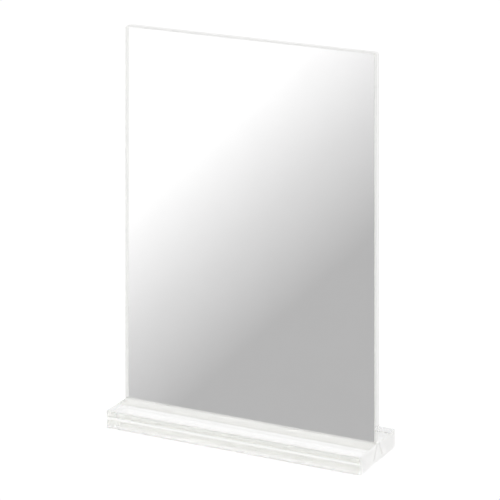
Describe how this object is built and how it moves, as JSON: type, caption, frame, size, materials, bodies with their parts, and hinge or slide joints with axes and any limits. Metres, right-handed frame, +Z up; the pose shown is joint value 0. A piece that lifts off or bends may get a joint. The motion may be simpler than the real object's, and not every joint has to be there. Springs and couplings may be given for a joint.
{
  "type": "countertop mirror",
  "caption": "Clear acrylic countertop mirror: a mirror plate stands between clear sheets whose bent feet slide endwise into splayed slots in a thick clear base bar.",
  "frame": {"origin": "middle of the base bar's underside, on the surface that the mirror stands on", "axes": "+X along the base bar, -Y the way the mirror faces, +Z up"},
  "size_m": [0.21, 0.0628, 0.299],
  "materials": {
    "clear_acrylic": "polished clear acrylic",
    "mirror_silver": "silvered film with grey lacquer behind"
  },
  "bodies": {
    "base": {"base_bar": "clear_acrylic"},
    "front": {"front_sheet": "clear_acrylic"},
    "rear": {"rear_sheet": "clear_acrylic"},
    "mirror": {"mirror_plate": "clear_acrylic", "mirror_coat": "mirror_silver"}
  },
  "joints": [
    {"name": "front_sheet_slide", "type": "slide", "parent": "base", "child": "front", "axis": [1, 0, 0], "range_m": [-0.212, 0.212]},
    {"name": "rear_sheet_slide", "type": "slide", "parent": "base", "child": "rear", "axis": [1, 0, 0], "range_m": [-0.212, 0.212]},
    {"name": "mirror_lift", "type": "slide", "parent": "base", "child": "mirror", "axis": [0, 0, 1], "range_m": [0, 0.29]}
  ]
}
